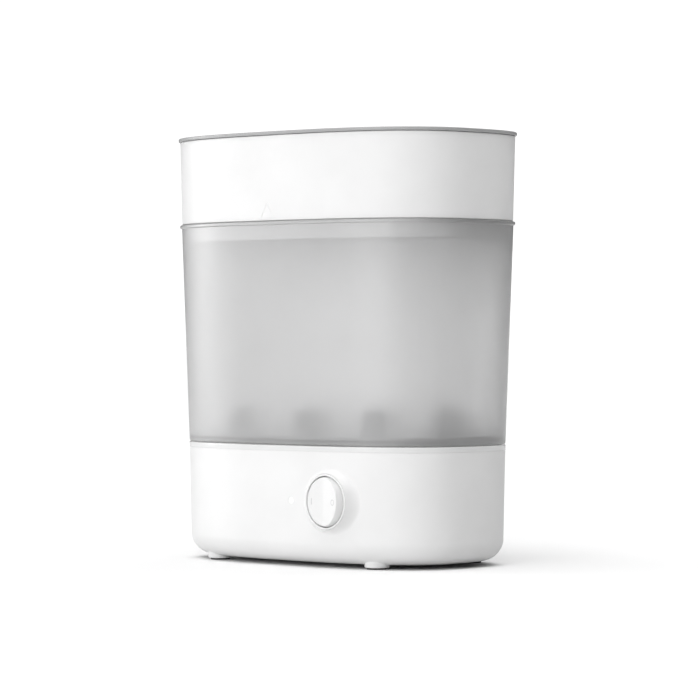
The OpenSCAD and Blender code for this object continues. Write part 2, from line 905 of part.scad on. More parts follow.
// Housing of the snap-action contacts behind the ring
module switch_body() {
    wall = 2;
    color("#2f3133") at_pivot() difference() {
        translate([-body_half, -body_half, body_back])
            cube([2 * body_half, 2 * body_half, body_front - body_back]);
        translate([-body_half + wall, -body_half + wall, body_back + wall])
            cube([2 * (body_half - wall), 2 * (body_half - wall), body_front - body_back - 2 * wall]);
        translate([0, 0, body_front - wall - 1]) cylinder(r = 6, h = wall + 2);
        for (x = [-contact_x, 0, contact_x])
            translate([x - 0.45, -3.2, body_back - 1]) cube([0.9, 6.4, wall + 2]);
    }
}

// Seesaw blade that joins the middle contact to one side or the other
module contact_lever() {
    color("#c98d4f") at_pivot() translate([0, 0, lever_z]) rotate([0, rocker_tilt * lever_ratio, 0])
        translate([-lever_len / 2, -3, -0.4]) cube([lever_len, 6, 0.8]);
}

module switch_terminals() {
    color("#c98d4f") at_pivot() for (x = [-contact_x, 0, contact_x])
        translate([x - tab_t / 2, -tab_w / 2, tab_end])
            cube([tab_t, tab_w, (x == 0 ? lever_z - 0.8 : lever_z - 1.7) - tab_end]);
}

// ---- Indicator light and control board ----

module indicator_lens() {
    front_y = edge_y(housing_light_out, light_x);
    color("#fbfcfc") union() {
        rod_y(light_x, switch_z, -front_y, led_y - 3.3, light_r);
        rod_y(light_x, switch_z, -77.4, -76.4, light_r + 0.9);
    }
}

module indicator_led() {
    color("#f2f4f2") union() {
        translate([light_x, led_y, switch_z]) sphere(r = 2.4);
        rod_y(light_x, switch_z, led_y, -66, 2.39);
        rod_y(light_x, switch_z, -66.2, -65, 2.8);
        for (side = [-1, 1])
            translate([light_x + side * 1.27 - 0.25, led_leg_y, switch_z - 0.25])
                cube([0.5, board_y - led_leg_y, 0.5]);
    }
}

module control_board() {
    color("#2f7a4a") difference() {
        translate([board_x0, board_y, board_z0])
            cube([board_x1 - board_x0, board_t, board_z1 - board_z0]);
        for (x = board_screw_xs, z = board_screw_zs)
            rod_y(x, z, board_y - 1, board_y + board_t + 1, small_screw_bore);
    }
}

module relay() {
    color("#24272b") translate(relay_place) cube(relay_size);
}

module capacitor() {
    color("#3e6fa8") translate(capacitor_place) cube(capacitor_size);
}

module board_screws() {
    back_y = board_y + board_t;
    color("#8a8c8e") for (x = board_screw_xs, z = board_screw_zs) difference() {
        union() {
            rod_y(x, z, back_y, back_y + 1.7, 2.4);
            rod_y(x, z, back_y - 10, back_y + 0.2, small_screw_r);
        }
        for (turn = [0, 90]) translate([x, back_y + 1.7, z]) rotate([0, turn, 0])
            cube([2.6, 1.4, 0.6], center = true);
    }
}

module deck_screws() {
    color("#8a8c8e") for (sx = [-1, 1], sy = [-1, 1])
        screw_up(sx * deck_post_x, sy * deck_post_y, deck_boss_z - 6, 12, 3, 2);
}

module cover_screws() {
    color("#8a8c8e") for (sx = [-1, 1], sy = [-1, 1])
        screw_up(sx * cover_screw_x, sy * cover_screw_y, underside_z - 0.1, 8, 3, 1.6);
}

// ---- Mains inlet ----

// Appliance inlet with a cavity for a standard connector
module power_inlet() {
    face_y = inlet_seat_y + inlet_flange_t;
    back_y = inlet_seat_y - 22;
    cavity_back = face_y - 17;
    color("#1f2123") difference() {
        union() {
            translate([-inlet_flange_w / 2, inlet_seat_y, inlet_z - inlet_flange_h / 2])
                cube([inlet_flange_w, inlet_flange_t, inlet_flange_h]);
            translate([-inlet_body_w / 2, back_y, inlet_z - inlet_body_h / 2])
                cube([inlet_body_w, face_y - back_y - 1, inlet_body_h]);
        }
        translate([0, cavity_back, inlet_z]) rotate([-90, 0, 0]) linear_extrude(30)
            polygon([[-12, 8], [-12, -3.5], [-7.5, -8], [7.5, -8], [12, -3.5], [12, 8]]);
        for (pin = inlet_pin_places)
            translate([pin[0], back_y - 1, inlet_z + pin[1]]) inlet_pin(pin_fit);
        for (side = [-1, 1])
            rod_y(side * inlet_pitch / 2, inlet_z, inlet_seat_y - 1, face_y + 1, screw_bore);
    }
}

// Flat pin along Y, or with some play, the slot it goes through
module inlet_pin(play) {
    translate([-inlet_pin_w / 2 - play, 0, -inlet_pin_h / 2 - play])
        cube([inlet_pin_w + 2 * play, inlet_pin_len, inlet_pin_h + 2 * play]);
}

module inlet_pins() {
    color("#c4c6c8") for (pin = inlet_pin_places)
        translate([pin[0], inlet_seat_y - inlet_pin_len, inlet_z + pin[1]]) inlet_pin(0);
}

module inlet_screws() {
    face_y = inlet_seat_y + inlet_flange_t;
    color("#c4c6c8") for (side = [-1, 1]) difference() {
        union() {
            rod_y(side * inlet_pitch / 2, inlet_z, face_y, face_y + 1.8, 3);
            rod_y(side * inlet_pitch / 2, inlet_z, inlet_seat_y - 6, face_y + 0.2, screw_r);
        }
        for (turn = [0, 90]) translate([side * inlet_pitch / 2, face_y + 1.8, inlet_z])
            rotate([0, turn, 0]) cube([3.4, 1.6, 0.8], center = true);
    }
}

// ---- Wires inside the base ----

module wire_inlet_switch() {
    color("#7a4a32") wire(
        [
            [7, 51, 34], [12, 46, 30], [40, 34, 22], [72, 6, 22],
            [74, -20, 34], [67, -31, 46], [66.5, -37, 51]
        ],
        wire_r
    );
}

module wire_inlet_board() {
    color("#3566a8") wire(
        [
            [-7, 51, 34], [-14, 46, 30], [-36, 34, 22], [-60, 0, 20],
            [-62, -34, 28], [-59, -52, 42], [-58, -61, 50]
        ],
        wire_r
    );
}

module wire_switch_board() {
    color("#7a4a32") wire(
        [[58, -37, 51], [57, -32, 45], [48, -31, 36], [34, -36, 30], [24, -48, 32], [21, -61, 37]],
        wire_r
    );
}

module wire_board_heater() {
    color("#c8c8c4") wire(
        [[5, -61, 60], [6, -54, 54], [9, -42, 40], [12.5, -33, 34], [13.5, -29, 38.8]],
        wire_r
    );
}

module wire_heater_fuse() {
    color("#c8c8c4") wire(
        [[-13.5, -29, 38.8], [-13, -27, 35], [-12, -20, 38], [-11, -18, 50], [-8, -19, 61]],
        wire_r
    );
}

lid_shell();
small_basket();
chamber_wall();
bottle_rack();
base_deck();
base_housing();
bottom_cover();
heating_plate();
plate_gasket();
clamp_ring();
clamp_screws();
heat_spreader();
heating_element();
element_terminals();
thermostat();
spreader_screw_set();
thermal_fuse();
fuse_clip();
switch_bezel();
power_rocker();
rocker_pin();
rocker_plunger();
rocker_spring();
switch_body();
contact_lever();
switch_terminals();
indicator_lens();
indicator_led();
control_board();
relay();
capacitor();
board_screws();
deck_screws();
cover_screws();
foot_pad_1();
foot_pad_2();
foot_pad_3();
foot_pad_4();
power_inlet();
inlet_pins();
inlet_screws();
wire_inlet_switch();
wire_inlet_board();
wire_switch_board();
wire_board_heater();
wire_heater_fuse();
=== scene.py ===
import json
import math

import bmesh
import bpy
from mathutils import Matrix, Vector


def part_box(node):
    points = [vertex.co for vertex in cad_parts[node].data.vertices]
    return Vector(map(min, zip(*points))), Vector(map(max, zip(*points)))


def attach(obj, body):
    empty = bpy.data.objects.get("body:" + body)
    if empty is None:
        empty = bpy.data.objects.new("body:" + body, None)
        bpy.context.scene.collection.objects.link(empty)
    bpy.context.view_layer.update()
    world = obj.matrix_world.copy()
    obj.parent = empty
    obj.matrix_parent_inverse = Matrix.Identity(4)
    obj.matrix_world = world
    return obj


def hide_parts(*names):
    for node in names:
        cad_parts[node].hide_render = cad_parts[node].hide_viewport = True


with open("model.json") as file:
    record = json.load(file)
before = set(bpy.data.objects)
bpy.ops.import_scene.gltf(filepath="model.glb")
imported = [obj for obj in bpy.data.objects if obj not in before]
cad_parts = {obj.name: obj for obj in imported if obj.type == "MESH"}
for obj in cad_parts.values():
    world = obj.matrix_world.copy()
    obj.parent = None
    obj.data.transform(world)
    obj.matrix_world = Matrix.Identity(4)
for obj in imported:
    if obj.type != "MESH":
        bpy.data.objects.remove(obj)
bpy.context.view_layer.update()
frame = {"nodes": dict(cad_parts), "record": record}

MM = 0.001

# ---- Places and sizes, read from the frame (metres) ----

LIP_LOW, LIP_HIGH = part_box("chamber_wall")
LID_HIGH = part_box("lid_shell")[1]
DECK_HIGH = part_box("base_deck")[1]
HOUSING_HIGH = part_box("base_housing")[1]
PLATE_LOW, PLATE_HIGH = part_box("heating_plate")
BEZEL_LOW, BEZEL_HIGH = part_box("switch_bezel")
LENS_LOW, LENS_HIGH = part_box("indicator_lens")
LEDGE_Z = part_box("bottle_rack")[0][2]
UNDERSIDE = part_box("bottom_cover")[0][2]
INLET_LOW, INLET_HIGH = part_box("power_inlet")

HALF_W, HALF_D = LIP_HIGH[0], LIP_HIGH[1]
SQUARENESS = 2.85
ROUND = 256

CHAMBER_TOP = LIP_HIGH[2]
LID_TOP = LID_HIGH[2]
BASE_TOP = DECK_HIGH[2]
SEAM = 0.3 * MM

# How far each outline stands out from the plan outline at the chamber's lip
LID_OUT = LID_HIGH[0] - HALF_W
TUB_LOW_OUT = -1.5 * MM
WALL_TOP_OUT = -1.3 * MM
WALL_LOW_OUT = -6.9 * MM
BAND_OUT = DECK_HIGH[0] - HALF_W
RIM_IN = BAND_OUT - 4.8 * MM
HOUSING_TOP_OUT = HOUSING_HIGH[0] - HALF_W
HOUSING_LOW_OUT = -8.4 * MM
BASKET_WALL = 2.2 * MM
HOUSING_WALL = 2.6 * MM
FILLET = 17 * MM
FILLET_DEPTH = 0.97

# Levels
RIM_H = 2.7 * MM
TUB_TOP = LID_TOP - RIM_H - SEAM
TUB_LOW = CHAMBER_TOP + SEAM
NEST_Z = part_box("small_basket")[0][2]
WALL_LOW = BASE_TOP + SEAM
HOUSING_TOP = BASE_TOP - 4.2 * MM
FILLET_TOP = UNDERSIDE + FILLET
DECK_FLOOR = BASE_TOP - 15.6 * MM
DECK_T = 2.5 * MM
PANEL_TOP = LID_TOP - 1.2 * MM

# Switch and light
SWITCH_X = (BEZEL_LOW[0] + BEZEL_HIGH[0]) / 2
SWITCH_Z = (BEZEL_LOW[2] + BEZEL_HIGH[2]) / 2
RING_R = (BEZEL_HIGH[2] - BEZEL_LOW[2]) / 2
RING_FACE = BEZEL_LOW[1]
PIVOT_Y = RING_FACE + 6 * MM
ROCKER_R = 19 * MM
BALL_R = math.hypot(ROCKER_R, 5 * MM)
GAP = 0.85 * MM
ROCKER_TILT = math.radians(8)
VALLEY = 6.4 * MM
VALLEY_SOFT = 2.3 * MM
FACE_SLOPE = math.tan(math.radians(6.8))
LIP_DEPTH = 3.2 * MM
POCKET_BACK = -8.1 * MM
RING_BACK = -9.5 * MM
STEM_BORE = 9 * MM
BALL_ROOM = 0.5 * MM
OFF_MARK_X = 12.6 * MM
ON_MARK_X = -13.2 * MM
LIGHT_X = (LENS_LOW[0] + LENS_HIGH[0]) / 2


# ---- Outline, profile and mesh helpers ----

def plan_point(grow, turn):
    """A point of the plan outline, grown outwards; turn runs from 0 to 1."""
    c, s = math.cos(2 * math.pi * turn), math.sin(2 * math.pi * turn)
    power = 2 / SQUARENESS
    x = (HALF_W + grow) * math.copysign(abs(c) ** power, c)
    y = (HALF_D + grow) * math.copysign(abs(s) ** power, s)
    return x, y


def edge_y(grow, x):
    """Half depth of an outline at a distance across the width."""
    across = min(abs(x) / (HALF_W + grow), 1)
    return (HALF_D + grow) * (1 - across ** SQUARENESS) ** (1 / SQUARENESS)


def plan_ring(grow, z, count=ROUND):
    return [(*plan_point(grow, i / count), z) for i in range(count)]


def circle_ring(r, z, count=ROUND):
    """A ring whose points lie in the same directions as the plan outline's."""
    ring = []
    for i in range(count):
        x, y = plan_point(-24 * MM, i / count)
        turn = math.atan2(y, x)
        ring.append((r * math.cos(turn), r * math.sin(turn), z))
    return ring


def stadium_ring(half_length, r, z, count=96):
    """A ring with straight sides and round ends, lying along X."""
    quarter = count // 4
    straight = half_length - r
    ring = []
    for end, start in ((1, -0.5), (-1, 0.5)):
        for i in range(2 * quarter):
            a = math.pi * (start + i / (2 * quarter - 1))
            ring.append((end * straight + r * math.cos(a), r * math.sin(a), z))
    return ring


def softened(section, steps=5, support=0.6 * MM):
    """Rounds the corners of a section of (out, z, radius), with a support point past each arc."""
    n = len(section)
    points = []
    for i, (g, z, radius) in enumerate(section):
        here = Vector((g, z))
        back = Vector(section[i - 1][:2]) - here
        ahead = Vector(section[(i + 1) % n][:2]) - here
        if radius <= 0:
            points.append(tuple(here))
            continue
        angle = back.angle(ahead)
        trim = min(radius / math.tan(angle / 2), 0.45 * back.length, 0.45 * ahead.length)
        if back.length > 4 * (trim + support):
            points.append(tuple(here + back.normalized() * (trim + support)))
        a, b = here + back.normalized() * trim, here + ahead.normalized() * trim
        r = trim * math.tan(angle / 2)
        middle = here + (back.normalized() + ahead.normalized()).normalized() * (r / math.sin(angle / 2))
        spin = (a - middle).angle_signed(b - middle)
        for k in range(steps + 1):
            arm = (a - middle).copy()
            t = -spin * k / steps
            points.append((
                middle.x + arm.x * math.cos(t) - arm.y * math.sin(t),
                middle.y + arm.x * math.sin(t) + arm.y * math.cos(t),
            ))
        if ahead.length > 4 * (trim + support):
            points.append(tuple(here + ahead.normalized() * (trim + support)))
    return points


def mesh_piece(name, verts, faces):
    mesh = bpy.data.meshes.new(name)
    mesh.from_pydata([tuple(v) for v in verts], [], faces)
    mesh.validate()
    bm = bmesh.new()
    bm.from_mesh(mesh)
    bmesh.ops.recalc_face_normals(bm, faces=bm.faces)
    bm.to_mesh(mesh)
    bm.free()
    for polygon in mesh.polygons:
        polygon.use_smooth = True
    piece = bpy.data.objects.new(name, mesh)
    bpy.context.scene.collection.objects.link(piece)
    return piece


def loft(name, rings, closed=False, first_cap=False, last_cap=False):
    """Skins a stack of rings that have the same number of points."""
    count = len(rings[0])
    verts = [p for ring in rings for p in ring]
    faces = []
    pairs = [(i, i + 1) for i in range(len(rings) - 1)]
    if closed:
        pairs.append((len(rings) - 1, 0))
    for a, b in pairs:
        for j in range(count):
            k = (j + 1) % count
            faces.append((a * count + j, a * count + k, b * count + k, b * count + j))
    if first_cap:
        faces.append(tuple(range(count - 1, -1, -1)))
    if last_cap:
        last = (len(rings) - 1) * count
        faces.append(tuple(range(last, last + count)))
    return mesh_piece(name, verts, faces)


def plan_loft(name, section, **caps):
    return loft(name, [plan_ring(g, z) for g, z in section], **caps)


def revolve(name, section, centre=(0, 0), count=160, closed=False, **caps):
    """Turns a section of (r, z) about an upright axis."""
    rings = []
    for r, z in section:
        turns = [2 * math.pi * i / count for i in range(count)]
        rings.append([(centre[0] + r * math.cos(a), centre[1] + r * math.sin(a), z) for a in turns])
    return loft(name, rings, closed=closed, **caps)


def facing_front(piece, x, y, z):
    """Turns a piece drawn about +Z so that +Z faces the front, and puts its origin at a place."""
    for v in piece.data.vertices:
        a, b, c = v.co
        v.co = (x + a, y - c, z + b)
    return piece


def cut(piece, *tools, operation="DIFFERENCE"):
    """Applies a boolean with each tool and removes the tools."""
    for tool in tools:
        step = piece.modifiers.new("cut", "BOOLEAN")
        step.operation = operation
        step.solver = "EXACT"
        step.object = tool
        bake_modifiers(piece)
        bpy.data.objects.remove(tool)
    return piece


def bake_modifiers(piece):
    bpy.context.view_layer.update()
    graph = bpy.context.evaluated_depsgraph_get()
    mesh = bpy.data.meshes.new_from_object(piece.evaluated_get(graph))
    piece.modifiers.clear()
    old = piece.data
    piece.data = mesh
    bpy.data.meshes.remove(old)
    mesh.name = piece.name


def joined(name, pieces):
    """One mesh out of several."""
    bm = bmesh.new()
    for piece in pieces:
        bm.from_mesh(piece.data)
        bpy.data.objects.remove(piece)
    mesh = bpy.data.meshes.new(name)
    bm.to_mesh(mesh)
    bm.free()
    whole = bpy.data.objects.new(name, mesh)
    bpy.context.scene.collection.objects.link(whole)
    return whole


def crisp(piece, degrees=32):
    """Smooth shading that stays sharp at real edges, with flat faces kept flat."""
    mesh = piece.data
    mesh.polygons.foreach_set("use_smooth", [True] * len(mesh.polygons))
    bm = bmesh.new()
    bm.from_mesh(mesh)
    limit = math.radians(degrees)
    for edge in bm.edges:
        edge.smooth = not (len(edge.link_faces) == 2 and edge.calc_face_angle(0) > limit)
    bm.to_mesh(mesh)
    bm.free()
    weighted = piece.modifiers.new("flat_faces", "WEIGHTED_NORMAL")
    weighted.keep_sharp = True
    weighted.weight = 80
    return piece


def finish_piece(piece, material, slot, body, *replaced):
    piece.data.materials.clear()
    piece.data.materials.append(material)
    crisp(piece)
    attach(piece, body)
    if replaced:
        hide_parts(*replaced)
    return piece


# ---- Materials ----

def node_material(name):
    material = bpy.data.materials.new(name)
    material.use_nodes = True
    nodes, links = material.node_tree.nodes, material.node_tree.links
    shader = nodes["Principled BSDF"]
    place = nodes.new("ShaderNodeTexCoord")
    return material, nodes, links, shader, place.outputs["Object"]


def noise(nodes, links, place, size, detail=2.0, stretch=None):
    """Noise whose blobs are about size metres across."""
    texture = nodes.new("ShaderNodeTexNoise")
    texture.inputs["Scale"].default_value = 1 / size
    texture.inputs["Detail"].default_value = detail
    if stretch:
        mapping = nodes.new("ShaderNodeMapping")
        mapping.inputs["Scale"].default_value = stretch
        links.new(place, mapping.inputs["Vector"])
        place = mapping.outputs["Vector"]
    links.new(place, texture.inputs["Vector"])
    return texture.outputs["Fac"]


def tinted(nodes, links, shader, factor, dark, light):
    ramp = nodes.new("ShaderNodeValToRGB")
    ramp.color_ramp.elements[0].position = 0.3
    ramp.color_ramp.elements[0].color = (*dark, 1)
    ramp.color_ramp.elements[1].position = 0.7
    ramp.color_ramp.elements[1].color = (*light, 1)
    links.new(factor, ramp.inputs["Fac"])
    links.new(ramp.outputs["Color"], shader.inputs["Base Color"])


def roughened(nodes, links, shader, factor, low, high):
    spread = nodes.new("ShaderNodeMapRange")
    spread.inputs["From Min"].default_value = 0.3
    spread.inputs["From Max"].default_value = 0.7
    spread.inputs["To Min"].default_value = low
    spread.inputs["To Max"].default_value = high
    links.new(factor, spread.inputs["Value"])
    links.new(spread.outputs["Result"], shader.inputs["Roughness"])


def bumped(nodes, links, shader, height, depth):
    bump = nodes.new("ShaderNodeBump")
    bump.inputs["Distance"].default_value = depth
    links.new(height, bump.inputs["Height"])
    links.new(bump.outputs["Normal"], shader.inputs["Normal"])


def plastic(name, colour, rough=0.35, grain=0.35 * MM, depth=0.006 * MM, vary=0.02, **sockets):
    """Moulded plastic: fine spark-eroded grain, a faint flow mottle and slightly uneven gloss."""
    material, nodes, links, shader, place = node_material(name)
    flow = noise(nodes, links, place, 45 * MM, 3.0)
    fine = noise(nodes, links, place, grain, 2.0)
    patches = noise(nodes, links, place, 9 * MM, 4.0)
    dark = [c * (1 - vary) for c in colour]
    light = [min(c * (1 + vary), 1) for c in colour]
    tinted(nodes, links, shader, flow, dark, light)
    roughened(nodes, links, shader, patches, rough - 0.04, rough + 0.04)
    bumped(nodes, links, shader, fine, depth)
    for socket, value in sockets.items():
        shader.inputs[socket.replace("_", " ")].default_value = value
    return material


def metal(name, colour, rough=0.3, brush=(1, 1, 14), depth=0.004 * MM):
    """Drawn or brushed metal: long fine scratches and a slightly cloudy polish."""
    material, nodes, links, shader, place = node_material(name)
    scratches = noise(nodes, links, place, 1.2 * MM, 6.0, brush)
    cloud = noise(nodes, links, place, 14 * MM, 3.0)
    tinted(nodes, links, shader, cloud, [c * 0.9 for c in colour], colour)
    roughened(nodes, links, shader, scratches, rough - 0.08, rough + 0.1)
    bumped(nodes, links, shader, scratches, depth)
    shader.inputs["Metallic"].default_value = 1
    return material


def spun_steel(name):
    """Steel plate with fine rings from spinning, and faint mineral haze."""
    material, nodes, links, shader, place = node_material(name)
    rings = nodes.new("ShaderNodeTexWave")
    rings.wave_type = "RINGS"
    rings.rings_direction = "Z"
    rings.inputs["Scale"].default_value = 260
    rings.inputs["Distortion"].default_value = 0.6
    rings.inputs["Detail"].default_value = 3
    links.new(place, rings.inputs["Vector"])
    haze = noise(nodes, links, place, 22 * MM, 5.0)
    tinted(nodes, links, shader, haze, (0.50, 0.50, 0.51), (0.62, 0.62, 0.63))
    roughened(nodes, links, shader, rings.outputs["Fac"], 0.20, 0.34)
    bumped(nodes, links, shader, rings.outputs["Fac"], 0.006 * MM)
    shader.inputs["Metallic"].default_value = 1
    return material


def braided(name, colour):
    """Woven glass sleeve."""
    material, nodes, links, shader, place = node_material(name)
    weave = nodes.new("ShaderNodeTexWave")
    weave.wave_type = "BANDS"
    weave.bands_direction = "DIAGONAL"
    weave.inputs["Scale"].default_value = 700
    weave.inputs["Distortion"].default_value = 1.5
    links.new(place, weave.inputs["Vector"])
    tinted(nodes, links, shader, weave.outputs["Fac"], [c * 0.7 for c in colour], colour)
    bumped(nodes, links, shader, weave.outputs["Fac"], 0.15 * MM)
    shader.inputs["Roughness"].default_value = 0.85
    return material


def circuit_board(name):
    """Green solder mask over faint copper tracks."""
    material, nodes, links, shader, place = node_material(name)
    tracks = nodes.new("ShaderNodeTexBrick")
    tracks.inputs["Scale"].default_value = 120
    tracks.inputs["Mortar Size"].default_value = 0.012
    tracks.inputs["Color1"].default_value = (0.02, 0.16, 0.07, 1)
    tracks.inputs["Color2"].default_value = (0.025, 0.19, 0.08, 1)
    tracks.inputs["Mortar"].default_value = (0.06, 0.30, 0.13, 1)
    links.new(place, tracks.inputs["Vector"])
    links.new(tracks.outputs["Color"], shader.inputs["Base Color"])
    bumped(nodes, links, shader, tracks.outputs["Fac"], 0.03 * MM)
    shader.inputs["Roughness"].default_value = 0.32
    return material


def frosted(name):
    """Translucent wall: cloudy plastic that also lets light fall through it onto what is inside."""
    material = plastic(
        name, (0.84, 0.84, 0.842), rough=0.33, grain=0.45 * MM, depth=0.006 * MM,
        Transmission_Weight=0.78, IOR=1.46, Coat_Weight=0.7, Coat_Roughness=0.42,
    )
    nodes, links = material.node_tree.nodes, material.node_tree.links
    rays = nodes.new("ShaderNodeLightPath")
    cover = nodes.new("ShaderNodeMapRange")
    cover.inputs["To Min"].default_value = 1
    cover.inputs["To Max"].default_value = 0.02
    links.new(rays.outputs["Is Shadow Ray"], cover.inputs["Value"])
    links.new(cover.outputs["Result"], nodes["Principled BSDF"].inputs["Alpha"])
    return material


WHITE = plastic("white_plastic", (0.87, 0.87, 0.87), rough=0.42)
# The housing's white plastic, painted a little darker over the whole rocker as painted shade on its face
ROCKER_SHADED_WHITE = plastic("rocker_white_painted_shade", (0.84, 0.84, 0.84), rough=0.33, depth=0.002 * MM)
WHITE_INNER = plastic("white_inner", (0.87, 0.87, 0.87), rough=0.42)
BAND = plastic(
    "band_grey", (0.80, 0.80, 0.80), rough=0.16, depth=0.002 * MM, vary=0.01, Coat_Weight=0.3,
)
LID_GREY = plastic("lid_grey", (0.41, 0.413, 0.415), rough=0.38, grain=0.5 * MM)
RACK_GREY = plastic("rack_grey", (0.10, 0.105, 0.11), rough=0.45, grain=0.5 * MM)
FROSTED = frosted("frosted_wall")
BLACK = plastic(
    "black_plastic", (0.018, 0.018, 0.02), rough=0.42, grain=0.6 * MM, depth=0.02 * MM, vary=0.1,
)
MARK_GREY = plastic("mark_grey", (0.6, 0.6, 0.61), rough=0.5, vary=0.04)
RUBBER = plastic(
    "foot_rubber", (0.035, 0.035, 0.037), rough=0.75, grain=0.8 * MM, depth=0.04 * MM, vary=0.15,
)
SILICONE = plastic("silicone", (0.42, 0.10, 0.06), rough=0.6, vary=0.08)
LENS = plastic(
    "lens", (0.95, 0.96, 0.95), rough=0.3, vary=0.01, Emission_Color=(1, 1, 1, 1), Emission_Strength=0.12,
)
STEEL = spun_steel("steel_plate")

CAD_FINISHES = {
    "plated_steel": metal("plated_steel", (0.55, 0.56, 0.57)),
    "screw_steel": metal("screw_steel", (0.48, 0.49, 0.5), rough=0.35, brush=(1, 1, 3)),
    "aluminium": metal("aluminium", (0.72, 0.73, 0.74), rough=0.45, brush=(3, 3, 3), depth=0.02 * MM),
    "element_sheath": metal("element_sheath", (0.22, 0.22, 0.23), rough=0.5),
    "contact_metal": metal("contact_metal", (0.72, 0.50, 0.22), rough=0.3),
    "fuse_gold": metal("fuse_gold", (0.70, 0.52, 0.24), rough=0.28),
    "foot_rubber": RUBBER,
    "silicone": SILICONE,
    "black_plastic": BLACK,
    "relay_black": plastic("relay_black", (0.02, 0.021, 0.025), rough=0.3, vary=0.08),
    "capacitor_blue": plastic("capacitor_blue", (0.03, 0.13, 0.34), rough=0.22, vary=0.05, Coat_Weight=0.4),
    "led_epoxy": plastic("led_epoxy", (0.9, 0.9, 0.86), rough=0.1, Transmission_Weight=0.6),
    "wire_brown": plastic("wire_brown", (0.12, 0.045, 0.02), rough=0.45, vary=0.1),
    "wire_blue": plastic("wire_blue", (0.02, 0.09, 0.36), rough=0.45, vary=0.1),
    "wire_glass": braided("wire_glass", (0.72, 0.70, 0.64)),
    "board_green": circuit_board("board_green"),
    "white_inner": WHITE_INNER,
    "white_plastic": WHITE,
    "lens": LENS,
    "steel_plate": STEEL,
    "rack_grey": RACK_GREY,
    "band_grey": BAND,
    "lid_grey": LID_GREY,
    "frosted_wall": FROSTED,
}


def finish_cad_nodes():
    """Every CAD node that stays in view gets the material of its slot."""
    slots = {s["node"]: s["material_slot"] for s in frame["record"]["subparts"]}
    for name, node in frame["nodes"].items():
        for place in node.material_slots:
            place.material = CAD_FINISHES[slots[name]]


# ---- Lid ----

GRIP_HALF = 56 * MM
GRIP_R = 29 * MM
GRIP_FLOOR = PANEL_TOP - 18.8 * MM
GRIP_WALL = 2 * MM
GRIP_BAR_HALF = 9 * MM
PANEL_T = 2 * MM
LID_SKIRT_DROP = 8 * MM
LID_SKIRT_T = 1.8 * MM
NEST_PLAY = 0.45 * MM
VENT_Y = 54 * MM
VENT_PITCH = 12 * MM
VENT_LENGTH = 18 * MM
VENT_WIDTH = 3.2 * MM


def lid_panel():
    """Rim, skirt and panel in one, with a hole for the grip's well and five steam vents."""
    skirt = -BASKET_WALL - NEST_PLAY
    panel_under = PANEL_TOP - PANEL_T
    skirt_z = TUB_TOP - LID_SKIRT_DROP
    section = softened([
        (-6 * MM, PANEL_TOP, 0),
        (-2.6 * MM, PANEL_TOP, 0.6 * MM),
        (-1.3 * MM, LID_TOP, 0.5 * MM),
        (LID_OUT, LID_TOP, 0.7 * MM),
        (LID_OUT, TUB_TOP + SEAM, 0.5 * MM),
        (skirt, TUB_TOP + SEAM, 0.2 * MM),
        (skirt, skirt_z, 0.5 * MM),
        (skirt - LID_SKIRT_T, skirt_z, 0.5 * MM),
        (skirt - LID_SKIRT_T, panel_under, 0.8 * MM),
        (-10 * MM, panel_under, 0),
    ], steps=4)
    panel = plan_loft("lid_panel", section, first_cap=True, last_cap=True)
    hole = loft(
        "hole",
        [stadium_ring(GRIP_HALF + MM, GRIP_R + MM, z) for z in (PANEL_TOP - 10 * MM, LID_TOP + 5 * MM)],
        first_cap=True, last_cap=True,
    )
    cut(panel, hole)
    for i in range(-2, 3):
        vent = upright_stadium(
            "vent", i * VENT_PITCH, VENT_Y, VENT_LENGTH, VENT_WIDTH, PANEL_TOP - 2 * PANEL_T, LID_TOP + MM,
        )
        cut(panel, vent)
    return panel


def upright_stadium(name, x, y, length, width, z0, z1):
    """Upright prism with round ends, lying along Y."""
    rings = []
    for z in (z0, z1):
        ring = stadium_ring(length / 2, width / 2, z, count=32)
        rings.append([(x - b, y + a, c) for a, b, c in ring])
    return loft(name, rings, first_cap=True, last_cap=True)


def grip_well():
    """Well for the fingers, with a rounded bead round its mouth."""
    section = softened([
        (-12 * MM, GRIP_FLOOR, 0),
        (0, GRIP_FLOOR, 4 * MM),
        (0, PANEL_TOP + 0.5 * MM, 0.9 * MM),
        (GRIP_WALL + 0.6 * MM, PANEL_TOP + 0.5 * MM, 0.5 * MM),
        (GRIP_WALL + 0.6 * MM, PANEL_TOP - 0.6 * MM, 0),
        (GRIP_WALL, PANEL_TOP - 2.4 * MM, 0.3 * MM),
        (GRIP_WALL, GRIP_FLOOR - GRIP_WALL, 5 * MM),
        (-12 * MM, GRIP_FLOOR - GRIP_WALL, 0),
    ])
    rings = [stadium_ring(GRIP_HALF + g, GRIP_R + g, z) for g, z in section]
    return loft("grip_well", rings, first_cap=True, last_cap=True)


def grip_bar():
    """Bar across the well, a little arched underneath, with rounded edges."""
    rings = []
    length = 2 * (GRIP_HALF + MM)
    for i in range(25):
        t = i / 24
        x = -length / 2 + length * t
        bottom = PANEL_TOP - (4 + 3 * (2 * t - 1) ** 4) * MM
        top = PANEL_TOP - 0.1 * MM
        half = GRIP_BAR_HALF
        soft_r = 1.4 * MM
        ring = []
        for y, z, start in (
            (half - soft_r, top - soft_r, 0), (-half + soft_r, top - soft_r, 90),
            (-half + soft_r, bottom + soft_r, 180), (half - soft_r, bottom + soft_r, 270),
        ):
            for k in range(6):
                a = math.radians(start + 18 * k)
                ring.append((x, y + soft_r * math.cos(a), z + soft_r * math.sin(a)))
        rings.append(ring)
    return loft("grip_bar", rings, first_cap=True, last_cap=True)


def make_lid():
    pieces = [(lid_panel(), ("lid_shell",)), (grip_well(), ()), (grip_bar(), ())]
    for piece, replaced in pieces:
        finish_piece(piece, LID_GREY, "lid_grey", "lid", *replaced)


# ---- Small basket ----

